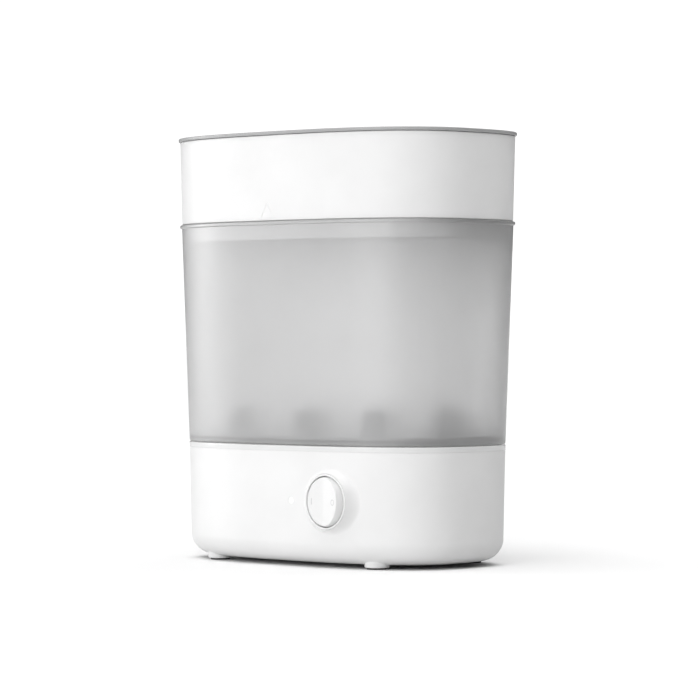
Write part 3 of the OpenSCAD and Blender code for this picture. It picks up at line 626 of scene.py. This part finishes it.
SLOT_COLUMNS = 12
SLOT_PITCH = 9 * MM
SLOT_WIDTH = 4.6 * MM
SLOT_INNER_Y = 4 * MM
BASKET_FLOOR_T = 2.4 * MM


def make_small_basket():
    skirt_top = WALL_TOP_OUT - BASKET_WALL - NEST_PLAY
    skirt_low = skirt_top - 0.4 * MM
    floor_top = NEST_Z + BASKET_FLOOR_T
    section = softened([
        (skirt_low - 4.5 * MM, NEST_Z, 0),
        (skirt_low, NEST_Z, 0.8 * MM),
        (skirt_top, TUB_LOW, 0.3 * MM),
        (TUB_LOW_OUT, TUB_LOW, 0.8 * MM),
        (0, TUB_TOP, 0.7 * MM),
        (-BASKET_WALL, TUB_TOP, 0.7 * MM),
        (TUB_LOW_OUT - BASKET_WALL, TUB_LOW + 3 * MM, 2 * MM),
        (skirt_top - 2 * MM, TUB_LOW - 0.5 * MM, 2 * MM),
        (skirt_low - 2.1 * MM, floor_top, 1.5 * MM),
        (skirt_low - 6.5 * MM, floor_top, 0),
    ])
    tub = plan_loft("small_basket_tub", section, first_cap=True, last_cap=True)
    slots = []
    for i in range(-SLOT_COLUMNS, SLOT_COLUMNS + 1):
        for side in (-1, 1):
            x = i * SLOT_PITCH
            length = edge_y(0, x) - 5 * SLOT_INNER_Y
            y = side * (SLOT_INNER_Y + length / 2)
            slots.append(upright_stadium("slot", x, y, length, SLOT_WIDTH, NEST_Z - MM, floor_top + MM))
    cut(tub, joined("slots", slots))
    finish_piece(tub, WHITE_INNER, "white_inner", "small_basket", "small_basket")


def make_alignment_mark():
    """Plain raised triangle at the front of the small basket."""
    half, height, line, proud = 7.2 * MM, 13 * MM, 0.9 * MM, 0.3 * MM
    low = TUB_LOW + 2 * MM
    corners = [(-half, low), (half, low), (0, low + height)]
    centre = Vector((0, low + height / 3))
    rings = []
    for inward, rise in ((0, -0.3 * MM), (0.12 * MM, proud), (line - 0.12 * MM, proud), (line, -0.3 * MM)):
        ring = []
        for x, z in corners:
            p = Vector((x, z))
            p = p + (centre - p).normalized() * inward * 2
            slope = (p.y - TUB_LOW) / (TUB_TOP - TUB_LOW)
            out = TUB_LOW_OUT * (1 - slope)
            ring.append((p.x, -edge_y(out, p.x) - rise, p.y))
        rings.append(ring)
    mark = loft("alignment_mark", rings, closed=True)
    finish_piece(mark, WHITE_INNER, "white_inner", "small_basket")


# ---- Steam chamber ----

def make_chamber():
    skirt = RIM_IN - NEST_PLAY
    skirt_z = LIP_LOW[2]
    section = softened([
        (skirt, skirt_z, 0.5 * MM),
        (skirt, WALL_LOW, 0.3 * MM),
        (WALL_LOW_OUT, WALL_LOW, 1.7 * MM),
        (WALL_TOP_OUT, CHAMBER_TOP - 2.9 * MM, 0.5 * MM),
        (0, CHAMBER_TOP - 2.5 * MM, 0.6 * MM),
        (0, CHAMBER_TOP, 0.8 * MM),
        (WALL_TOP_OUT - BASKET_WALL, CHAMBER_TOP, 0.6 * MM),
        (WALL_LOW_OUT - BASKET_WALL, LEDGE_Z, 0.8 * MM),
        (skirt - 1.8 * MM, LEDGE_Z, 0.5 * MM),
        (skirt - 1.8 * MM, skirt_z, 0.5 * MM),
    ])
    wall = plan_loft("frosted_chamber", section, closed=True)
    finish_piece(wall, FROSTED, "frosted_wall", "large_basket", "chamber_wall")


# ---- Base ----

COVER_RECESS = 2.55 * MM
FOOT_R = 9.5 * MM
FOOT_LOW = 1.3 * MM
LIGHT_BORE = 2.62 * MM
PAD_HALF_W = 28 * MM
PAD_MARGIN = 3 * MM
SOCKET_HALF_W = 14 * MM
SOCKET_MARGIN = 1.7 * MM
POST_X = 114 * MM
POST_Y = 24 * MM
POST_BORE = 3.4 * MM


def make_deck():
    """Gloss rim, sloping sides and flat tray with a round window for the plate."""
    spigot = HOUSING_TOP_OUT - HOUSING_WALL - 0.4 * MM
    under = DECK_FLOOR - DECK_T
    outer = softened([
        (RIM_IN - 11.9 * MM, DECK_FLOOR, 3 * MM),
        (RIM_IN - 3.4 * MM, BASE_TOP - 5 * MM, 0.8 * MM),
        (RIM_IN, BASE_TOP - 5 * MM, 0.3 * MM),
        (RIM_IN, BASE_TOP, 0.5 * MM),
        (BAND_OUT, BASE_TOP, 0.6 * MM),
        (BAND_OUT, HOUSING_TOP + 0.02 * MM, 0.12 * MM),
        (spigot, HOUSING_TOP + 0.02 * MM, 0.2 * MM),
        (spigot, under + 10 * MM, 0.5 * MM),
        (RIM_IN - 2.8 * MM, under + 10 * MM, 0.5 * MM),
        (RIM_IN - 10.8 * MM, under, 2 * MM),
    ])
    rings = [plan_ring(g, z) for g, z in outer]
    window = 52 * MM
    bead = [
        (window + 4 * MM, under), (window, under), (window, DECK_FLOOR + 0.3 * MM),
        (window + 0.4 * MM, DECK_FLOOR + 0.8 * MM), (window + 1.4 * MM, DECK_FLOOR + 0.9 * MM),
        (window + 2.6 * MM, DECK_FLOOR + 0.5 * MM), (window + 3.6 * MM, DECK_FLOOR),
    ]
    rings += [circle_ring(r, z) for r, z in bead]
    deck = loft("deck_shell", rings, closed=True)
    finish_piece(deck, BAND, "band_grey", "root", "base_deck")


def housing_section():
    """Outside up from the cover's recess, over the top and down the inside."""
    opening, ledge = -40 * MM, -44 * MM
    flat_end = HOUSING_LOW_OUT - FILLET * FILLET_DEPTH
    points = [(opening, UNDERSIDE), (opening + MM, UNDERSIDE), (flat_end - 4 * MM, UNDERSIDE)]
    for a in range(0, 91, 5):
        turn = math.radians(a)
        out = HOUSING_LOW_OUT - FILLET * FILLET_DEPTH * (1 - math.sin(turn))
        points.append((out, FILLET_TOP - FILLET * math.cos(turn)))
    for k in (0.03, 0.25, 0.5, 0.75, 0.985):
        z = FILLET_TOP + (HOUSING_TOP - FILLET_TOP) * k
        points.append((HOUSING_LOW_OUT + (HOUSING_TOP_OUT - HOUSING_LOW_OUT) * k, z))
    points += [
        (HOUSING_TOP_OUT - 0.01 * MM, HOUSING_TOP - 0.1 * MM),
        (HOUSING_TOP_OUT - 0.1 * MM, HOUSING_TOP),
        (HOUSING_TOP_OUT - HOUSING_WALL, HOUSING_TOP),
        (HOUSING_LOW_OUT - HOUSING_WALL, FILLET_TOP),
    ]
    inner = FILLET - HOUSING_WALL
    for a in range(75, -1, -15):
        turn = math.radians(a)
        points.append((
            HOUSING_LOW_OUT - HOUSING_WALL - inner * FILLET_DEPTH * (1 - math.sin(turn)),
            FILLET_TOP - inner * math.cos(turn),
        ))
    points += [
        (ledge, UNDERSIDE + HOUSING_WALL),
        (ledge, UNDERSIDE + COVER_RECESS),
        (opening, UNDERSIDE + COVER_RECESS),
    ]
    return points


def wall_out(z):
    """How far the housing's outside stands out at a height above the rounded edge."""
    k = (z - FILLET_TOP) / (HOUSING_TOP - FILLET_TOP)
    return HOUSING_LOW_OUT + (HOUSING_TOP_OUT - HOUSING_LOW_OUT) * k


def front_y(x, z):
    return -edge_y(wall_out(z), x)


def foot_places():
    for i in range(1, 5):
        low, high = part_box(f"foot_pad_{i}")
        yield (low[0] + high[0]) / 2, (low[1] + high[1]) / 2


def front_bore(r, x, z, y0, y1):
    """Round tool along Y."""
    tool = revolve("bore", [(r, 0), (r, y1 - y0)], count=128, first_cap=True, last_cap=True)
    return facing_front(tool, x, y1, z)


def make_housing():
    shell = plan_loft("housing_shell", housing_section(), closed=True)
    for x, y in foot_places():
        foot = revolve("foot", softened_open([
            (0, FOOT_LOW, 0), (FOOT_R, FOOT_LOW, 0.8 * MM), (FOOT_R, UNDERSIDE + 8 * MM, 0),
        ]), centre=(x, y), count=96, last_cap=True)
        cut(shell, foot, operation="UNION")
    cut(shell, front_bore(RING_R + 0.1 * MM, SWITCH_X, SWITCH_Z, -100 * MM, -60 * MM))
    cut(shell, front_bore(LIGHT_BORE, LIGHT_X, SWITCH_Z, -100 * MM, -70 * MM))
    pad = block(
        "pad", (-PAD_HALF_W, 75 * MM, INLET_LOW[2] - PAD_MARGIN),
        (PAD_HALF_W, 82 * MM, INLET_HIGH[2] + PAD_MARGIN), 1.2 * MM,
    )
    cut(shell, pad, operation="UNION")
    socket = block(
        "socket", (-SOCKET_HALF_W, 60 * MM, INLET_LOW[2] + SOCKET_MARGIN),
        (SOCKET_HALF_W, 95 * MM, INLET_HIGH[2] - SOCKET_MARGIN), 0,
    )
    cut(shell, socket)
    for sx in (-1, 1):
        for sy in (-1, 1):
            hole = revolve(
                "hole", [(POST_BORE, 0), (POST_BORE, 30 * MM)], centre=(sx * POST_X, sy * POST_Y),
                count=48, first_cap=True, last_cap=True,
            )
            cut(shell, hole)
    finish_piece(shell, WHITE, "white_plastic", "root", "base_housing")


def softened_open(section):
    """Rounds the corners of an open section."""
    return softened(section + [(0, section[-1][1], 0)])[:-1]


def block(name, low, high, radius):
    """Box with its edges along Y rounded."""
    corners = (
        (high[0], high[2], 0), (low[0], high[2], 90), (low[0], low[2], 180), (high[0], low[2], 270),
    )
    rings = []
    for y in (low[1], high[1]):
        ring = []
        for cx, cz, start in corners:
            if radius <= 0:
                ring.append((cx, y, cz))
                continue
            for k in range(6):
                a = math.radians(start + 18 * k)
                sx = -1 if cx == high[0] else 1
                sz = -1 if cz == high[2] else 1
                x = cx + sx * radius + radius * math.cos(a)
                z = cz + sz * radius + radius * math.sin(a)
                ring.append((x, y, z))
        rings.append(ring)
    return loft(name, rings, first_cap=True, last_cap=True)


def make_collar():
    """Soft flare that blends the switch's ring into the curved wall."""
    count, steps = 192, 14
    inner, lip = RING_R + 0.1 * MM, RING_R + 0.8 * MM
    face = RING_FACE + 0.7 * MM
    rings = [[] for _ in range(steps + 4)]
    for i in range(count):
        a = 2 * math.pi * i / count
        c, s = math.cos(a), math.sin(a)

        def wall(r):
            return front_y(SWITCH_X + r * c, SWITCH_Z + r * s)

        def put(k, r, y):
            rings[k].append((SWITCH_X + r * c, y, SWITCH_Z + r * s))

        corner = wall(lip)
        rise = 0.92 * (corner - face)
        spread = 1.2 * MM + 0.65 * (corner - face)
        put(0, inner, face + 8 * MM)
        put(1, inner, face + 0.3 * MM)
        put(2, inner + 0.3 * MM, face)
        put(3, lip - 0.25 * MM, face + 0.05 * MM)
        for k in range(steps):
            t = k / (steps - 1)
            r = lip + t * spread
            middle, end = wall(lip + spread / 2), wall(lip + spread)
            y = (1 - t) ** 2 * (corner - rise) + 2 * t * (1 - t) * middle + t * t * end
            put(4 + k, r, y + (0.04 * MM if k == steps - 1 else 0))
    collar = loft("switch_collar", rings)
    finish_piece(collar, WHITE, "white_plastic", "root")


def make_bezel():
    """Ring round the rocker, with a thin lip over the rocker's edge."""
    face = PIVOT_Y - RING_FACE
    section = softened([
        (ROCKER_R + GAP, face - LIP_DEPTH, 0.1 * MM),
        (ROCKER_R + GAP, face, 0.3 * MM),
        (RING_R, face, 0.7 * MM),
        (RING_R, RING_BACK, 0),
        (STEM_BORE, RING_BACK, 0),
        (STEM_BORE, POCKET_BACK, 0),
        (BALL_R + BALL_ROOM, POCKET_BACK, 0),
        (BALL_R + BALL_ROOM, face - LIP_DEPTH, 0),
    ], steps=4, support=0.3 * MM)
    ring = revolve("rocker_ring", section, count=192, closed=True)
    facing_front(ring, SWITCH_X, PIVOT_Y, SWITCH_Z)
    finish_piece(ring, WHITE, "white_plastic", "root", "switch_bezel")


def rocker_front(x):
    """Height of the rocker's dished face above the pivot."""
    return VALLEY + FACE_SLOPE * (math.sqrt(x * x + VALLEY_SOFT ** 2) - 0.55 * VALLEY_SOFT)


def rocker_place(x, y, z):
    """From the rocker's own axes to the row frame, switched on."""
    c, s = math.cos(-ROCKER_TILT), math.sin(-ROCKER_TILT)
    x, z = x * c + z * s, -x * s + z * c
    return SWITCH_X + x, PIVOT_Y - z, SWITCH_Z + y


def make_rocker():
    """Ball cut in front by a soft valley, with a rounded edge."""
    count, face_rings, edge_rings, ball_rings = 160, 26, 7, 9
    soft_edge = 0.7 * MM
    rings = [[] for _ in range(face_rings + edge_rings + ball_rings)]
    for i in range(count):
        a = 2 * math.pi * i / count
        c, s = math.cos(a), math.sin(a)
        low, high = 10 * MM, BALL_R
        for _ in range(40):
            r = (low + high) / 2
            if r * r + rocker_front(r * c) ** 2 < BALL_R ** 2:
                low = r
            else:
                high = r
        edge_r = low
        edge_z = rocker_front(edge_r * c)
        inner_r = edge_r - soft_edge
        inner_z = rocker_front(inner_r * c)
        drop = math.asin(edge_z / BALL_R) - soft_edge / BALL_R
        outer_r, outer_z = BALL_R * math.cos(drop), BALL_R * math.sin(drop)
        for k in range(face_rings):
            r = 0.4 * MM + (inner_r - 0.4 * MM) * k / (face_rings - 1)
            rings[k].append(rocker_place(r * c, r * s, rocker_front(r * c)))
        for k in range(edge_rings):
            t = (k + 1) / (edge_rings + 1)
            r = (1 - t) ** 2 * inner_r + 2 * t * (1 - t) * edge_r + t * t * outer_r
            z = (1 - t) ** 2 * inner_z + 2 * t * (1 - t) * edge_z + t * t * outer_z
            rings[face_rings + k].append(rocker_place(r * c, r * s, z))
        floor_angle = math.asin(-2.5 * MM / BALL_R)
        for k in range(ball_rings):
            turn = drop + (floor_angle - drop) * k / (ball_rings - 1)
            r, z = BALL_R * math.cos(turn), BALL_R * math.sin(turn)
            rings[face_rings + edge_rings + k].append(rocker_place(r * c, r * s, z))
    cap = loft("rocker_cap", rings, first_cap=True, last_cap=True)
    finish_piece(cap, ROCKER_SHADED_WHITE, "white_plastic", "rocker", "power_rocker")


def rocker_mark(name, outline_points, inner_points):
    """Thin raised mark on the rocker's face, between two outlines."""
    low, high = -0.05 * MM, 0.04 * MM
    rings = []
    for points, rise in (
        (outline_points, low), (outline_points, high), (inner_points, high), (inner_points, low),
    ):
        rings.append([rocker_place(x, y, rocker_front(x) + rise) for x, y in points])
    mark = loft(name, rings, closed=True)
    finish_piece(mark, MARK_GREY, "white_plastic", "rocker")


def make_marks():
    """The generic on and off marks: a stroke and a ring."""
    def ring(cx, r, count=40):
        turns = [2 * math.pi * i / count for i in range(count)]
        return [(cx + r * math.cos(a), r * math.sin(a)) for a in turns]

    def stroke(cx, half_w, half_h, count=40):
        points = []
        for i in range(count):
            a = 2 * math.pi * i / count
            c, s = math.cos(a), math.sin(a)
            points.append((cx + half_w * c, math.copysign(half_h - half_w, s) + half_w * s))
        return points

    rocker_mark("off_mark", ring(OFF_MARK_X, 2.3 * MM), ring(OFF_MARK_X, 1.75 * MM))
    rocker_mark("on_mark", stroke(ON_MARK_X, 0.32 * MM, 2.5 * MM), stroke(ON_MARK_X, 0.05 * MM, 2.2 * MM))


def make_lens():
    """End of the light pipe, shaped flush with the wall."""
    rings = []
    for r, out in ((0.2, 0.06), (1.0, 0.06), (1.8, 0.05), (2.3, 0.02), (2.5, -0.15), (2.5, -7)):
        ring = []
        for i in range(64):
            a = 2 * math.pi * i / 64
            x, z = LIGHT_X + r * MM * math.cos(a), SWITCH_Z + r * MM * math.sin(a)
            y = front_y(x, z) - out * MM if out > -1 else LENS_HIGH[1]
            ring.append((x, y, z))
        rings.append(ring)
    lens = loft("light_pipe", rings, first_cap=True, last_cap=True)
    finish_piece(lens, LENS, "lens", "root", "indicator_lens")


def make_plate():
    """Spun steel dish with a soft step and a shallow ring."""
    top = PLATE_HIGH[2]
    bottom = PLATE_LOW[2]
    dish = bottom + 1.2 * MM
    section = softened([
        (0.5 * MM, dish, 0), (28 * MM, dish, 0.5 * MM), (30 * MM, dish + 0.5 * MM, 0.6 * MM),
        (32 * MM, dish, 0.5 * MM), (43.5 * MM, dish, 2 * MM), (48.5 * MM, top, 2 * MM),
        (58 * MM, top, 0.4 * MM), (58 * MM, top - 1.2 * MM, 0.4 * MM), (49 * MM, top - 1.2 * MM, 2 * MM),
        (44 * MM, bottom, 2 * MM), (0.5 * MM, bottom, 0),
    ])
    plate = revolve("steel_dish", section, count=192, first_cap=True, last_cap=True)
    finish_piece(plate, STEEL, "steel_plate", "root", "heating_plate")


make_lid()
make_small_basket()
make_alignment_mark()
make_chamber()
make_deck()
make_housing()
make_collar()
make_bezel()
make_rocker()
make_marks()
make_lens()
make_plate()
finish_cad_nodes()


# ---- Floor, light and camera ----

def make_floor():
    """Large pale floor; it looks white to the camera and throws less light back up at the base."""
    size = 30
    material, nodes, links, shader, place = node_material("floor_paper")
    fibre = noise(nodes, links, place, 1.5 * MM, 3.0)
    tinted(nodes, links, shader, fibre, (0.93, 0.93, 0.93), (0.95, 0.95, 0.95))
    seen = shader.inputs["Base Color"].links[0].from_socket
    rays = nodes.new("ShaderNodeLightPath")
    mix = nodes.new("ShaderNodeMix")
    mix.data_type = "RGBA"
    mix.inputs["A"].default_value = (0.72, 0.72, 0.72, 1)
    links.new(rays.outputs["Is Camera Ray"], mix.inputs["Factor"])
    links.new(seen, mix.inputs["B"])
    links.new(mix.outputs["Result"], shader.inputs["Base Color"])
    shader.inputs["Roughness"].default_value = 0.9
    shader.inputs["Specular IOR Level"].default_value = 0.1
    corners = [(-size, -size, 0), (size, -size, 0), (size, size, 0), (-size, size, 0)]
    floor = mesh_piece("floor", corners, [(0, 1, 2, 3)])
    floor.data.materials.append(material)


def soft_sun(name, turn, lift, strength, spread=40):
    """Broad light; turn is measured from the front towards the right, lift up from the floor."""
    light = bpy.data.lights.new(name, "SUN")
    light.energy = strength
    light.angle = math.radians(spread)
    lamp = bpy.data.objects.new(name, light)
    a, e = math.radians(turn), math.radians(lift)
    towards = Vector((math.sin(a) * math.cos(e), -math.cos(a) * math.cos(e), math.sin(e)))
    lamp.rotation_euler = (-towards).to_track_quat("-Z", "Y").to_euler()
    lamp.visible_transmission = False
    bpy.context.scene.collection.objects.link(lamp)


def inner_glow(name, x, z, power):
    """Soft lamp in the steam chamber: the light that the translucent walls let in."""
    light = bpy.data.lights.new(name, "POINT")
    light.energy = power
    light.shadow_soft_size = 0.02
    lamp = bpy.data.objects.new(name, light)
    lamp.location = (x, 0, z)
    lamp.visible_camera = lamp.visible_glossy = lamp.visible_transmission = False
    bpy.context.scene.collection.objects.link(lamp)


def make_lights():
    soft_sun("front", 2, 6, 1.08, spread=36)
    soft_sun("right_fill", 28, 25, 0.66)
    soft_sun("right_side", 72, 15, 0.08, spread=60)
    soft_sun("left_side", -68, 6, 0.74, spread=22)
    soft_sun("left_front", -42, 12, 0.25)
    soft_sun("back_fill", 182, 34, 0.42, spread=50)
    soft_sun("overhead", 0, 88, 2.8, spread=70)
    middle = (LEDGE_Z + CHAMBER_TOP) / 2
    for side in (-1, 1):
        inner_glow(f"glow_{side + 2}", side * 60 * MM, middle + 30 * MM, 0.03)


def make_world():
    """White backdrop for the camera and through the frosted wall, nearly dark for everything else."""
    world = bpy.data.worlds.new("studio")
    bpy.context.scene.world = world
    world.use_nodes = True
    nodes, links = world.node_tree.nodes, world.node_tree.links
    nodes.clear()
    rays = nodes.new("ShaderNodeLightPath")
    output = nodes.new("ShaderNodeOutputWorld")

    def background(strength):
        node = nodes.new("ShaderNodeBackground")
        node.inputs["Color"].default_value = (1, 1, 1, 1)
        node.inputs["Strength"].default_value = strength
        return node.outputs["Background"]

    def chosen(flag, yes, no):
        mix = nodes.new("ShaderNodeMixShader")
        links.new(rays.outputs[flag], mix.inputs["Fac"])
        links.new(no, mix.inputs[1])
        links.new(yes, mix.inputs[2])
        return mix.outputs["Shader"]

    through = chosen("Is Transmission Ray", background(0.79), background(0.02))
    links.new(chosen("Is Camera Ray", background(1.1), through), output.inputs["Surface"])


def make_camera():
    turn = math.radians(43.94)
    distance, height = 2.715, 0.1784
    aside, aim_z = 0.004, 0.1669
    data = bpy.data.cameras.new("camera")
    data.sensor_width = 36
    data.lens = 176.4
    camera = bpy.data.objects.new("camera", data)
    place = Vector((distance * math.sin(turn), -distance * math.cos(turn), height))
    aim = Vector((aside * math.cos(turn), aside * math.sin(turn), aim_z))
    camera.location = place
    camera.rotation_euler = (aim - place).to_track_quat("-Z", "Y").to_euler()
    bpy.context.scene.collection.objects.link(camera)
    bpy.context.scene.camera = camera


make_floor()
make_lights()
make_world()
make_camera()
bpy.context.scene.view_settings.view_transform = "Standard"
bpy.context.scene.cycles.caustics_refractive = False
bpy.context.scene.cycles.caustics_reflective = False
bpy.context.scene.cycles.sample_clamp_indirect = 2
